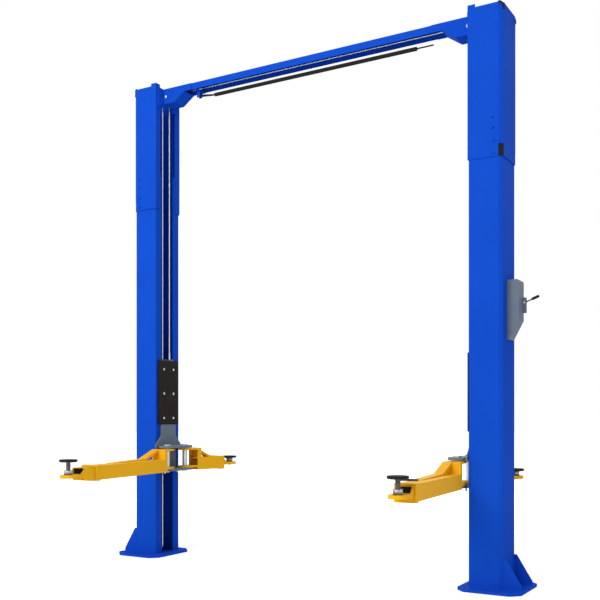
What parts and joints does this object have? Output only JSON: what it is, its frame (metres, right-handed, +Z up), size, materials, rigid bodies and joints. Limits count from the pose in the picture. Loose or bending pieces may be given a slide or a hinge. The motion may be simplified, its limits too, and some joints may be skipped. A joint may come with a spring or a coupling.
{
  "type": "two post car lift",
  "caption": "Two post car lift: two columns joined by an overhead beam, with lifting carriages and telescoping swing arms.",
  "frame": {"origin": "on the floor, midway between the columns, at the centre of the anchor hole pattern", "axes": "+X from the left column to the right one, +Y to the back, +Z up"},
  "size_m": [3.399, 2.0879, 3.82],
  "materials": {
    "blue_paint": "semi-gloss",
    "yellow_paint": "semi-gloss",
    "grey_paint": "satin",
    "zinc_steel": "satin",
    "steel_cable": "satin",
    "black_rubber": "matte",
    "black_foam": "matte",
    "black_steel": "satin",
    "slider_plastic": "matte"
  },
  "bodies": {
    "frame": {"left_base_plate": "blue_paint", "right_base_plate": "blue_paint", "left_column": "blue_paint", "right_column": "blue_paint", "left_extension": "blue_paint", "right_extension": "blue_paint", "left_beam_head": "blue_paint", "right_beam_head": "blue_paint", "overhead_beam": "blue_paint", "head_sheaves": "black_steel", "base_sheaves": "black_steel", "equaliser_cables": "steel_cable", "left_lift_cable_run": "steel_cable", "right_lift_cable_run": "steel_cable", "left_return_cable_run": "steel_cable", "right_return_cable_run": "steel_cable", "shut_off_bracket": "blue_paint", "control_cover": "grey_paint"},
    "left_carriage": {"left_carriage": "grey_paint", "left_slider_blocks": "slider_plastic", "left_door_pad": "black_rubber", "left_arm_pins": "zinc_steel"},
    "right_carriage": {"right_carriage": "grey_paint", "right_slider_blocks": "slider_plastic", "right_door_pad": "black_rubber", "right_arm_pins": "zinc_steel"},
    "left_front_arm": {"left_front_arm": "yellow_paint"},
    "left_front_inner_arm": {"left_front_inner_arm": "yellow_paint"},
    "left_front_pad": {"left_front_pad_screw": "black_steel", "left_front_pad_rubber": "black_rubber"},
    "left_back_arm": {"left_back_arm": "yellow_paint"},
    "left_back_inner_arm": {"left_back_inner_arm": "yellow_paint"},
    "left_back_pad": {"left_back_pad_screw": "black_steel", "left_back_pad_rubber": "black_rubber"},
    "right_front_arm": {"right_front_arm": "yellow_paint"},
    "right_front_inner_arm": {"right_front_inner_arm": "yellow_paint"},
    "right_front_pad": {"right_front_pad_screw": "black_steel", "right_front_pad_rubber": "black_rubber"},
    "right_back_arm": {"right_back_arm": "yellow_paint"},
    "right_back_inner_arm": {"right_back_inner_arm": "yellow_paint"},
    "right_back_pad": {"right_back_pad_screw": "black_steel", "right_back_pad_rubber": "black_rubber"},
    "shut_off_bar": {"shut_off_rod": "black_steel", "shut_off_foam": "black_foam"},
    "release_lever": {"release_lever": "black_steel"}
  },
  "joints": [
    {"name": "left_carriage_lift", "type": "slide", "parent": "frame", "child": "left_carriage", "axis": [0, 0, 1], "range_m": [-0.56, 1.2], "deforming": ["left_lift_cable_run", "left_return_cable_run"]},
    {"name": "right_carriage_lift", "type": "slide", "parent": "frame", "child": "right_carriage", "axis": [0, 0, 1], "range_m": [-0.56, 1.2], "deforming": ["right_lift_cable_run", "right_return_cable_run"]},
    {"name": "left_front_swing", "type": "hinge", "parent": "left_carriage", "child": "left_front_arm", "pos_m": [-1.225, -0.113, 0.78], "axis": [0, 0, -1], "range_deg": [-72, 35]},
    {"name": "left_front_telescope", "type": "slide", "parent": "left_front_arm", "child": "left_front_inner_arm", "axis": [0.1392, -0.9903, 0], "range_m": [-0.113, 0.287]},
    {"name": "left_front_pad_height", "type": "slide", "parent": "left_front_inner_arm", "child": "left_front_pad", "axis": [0, 0, 1], "range_m": [-0.054, 0.014]},
    {"name": "left_back_swing", "type": "hinge", "parent": "left_carriage", "child": "left_back_arm", "pos_m": [-1.225, 0.113, 0.78], "axis": [0, 0, 1], "range_deg": [-67, 40]},
    {"name": "left_back_telescope", "type": "slide", "parent": "left_back_arm", "child": "left_back_inner_arm", "axis": [0.225, 0.9744, 0], "range_m": [0, 0.15]},
    {"name": "left_back_pad_height", "type": "slide", "parent": "left_back_inner_arm", "child": "left_back_pad", "axis": [0, 0, 1], "range_m": [0, 0.03]},
    {"name": "right_front_swing", "type": "hinge", "parent": "right_carriage", "child": "right_front_arm", "pos_m": [1.225, -0.113, 0.748], "axis": [0, 0, 1], "range_deg": [-84.4, 22.6]},
    {"name": "right_front_telescope", "type": "slide", "parent": "right_front_arm", "child": "right_front_inner_arm", "axis": [0.0767, -0.9971, 0], "range_m": [0, 0.4]},
    {"name": "right_front_pad_height", "type": "slide", "parent": "right_front_inner_arm", "child": "right_front_pad", "axis": [0, 0, 1], "range_m": [-0.054, 0.014]},
    {"name": "right_back_swing", "type": "hinge", "parent": "right_carriage", "child": "right_back_arm", "pos_m": [1.225, 0.113, 0.748], "axis": [0, 0, -1], "range_deg": [-102, 5]},
    {"name": "right_back_telescope", "type": "slide", "parent": "right_back_arm", "child": "right_back_inner_arm", "axis": [0.3746, 0.9272, 0], "range_m": [0, 0.15]},
    {"name": "right_back_pad_height", "type": "slide", "parent": "right_back_inner_arm", "child": "right_back_pad", "axis": [0, 0, 1], "range_m": [0, 0.03]},
    {"name": "shut_off_bar_tilt", "type": "hinge", "parent": "frame", "child": "shut_off_bar", "pos_m": [-0.985, 0, 3.7], "axis": [0, -1, 0], "range_deg": [0, 1]},
    {"name": "release_lever_pull", "type": "hinge", "parent": "frame", "child": "release_lever", "pos_m": [1.628, 0.052, 1.88], "axis": [0, 1, 0], "range_deg": [0, 35], "stiffness_Nm_per_rad": 0.6, "springref_deg": -17.19}
  ],
  "couplings": [
    {"joint": "right_carriage_lift", "follows": "left_carriage_lift", "ratio": 1}
  ]
}
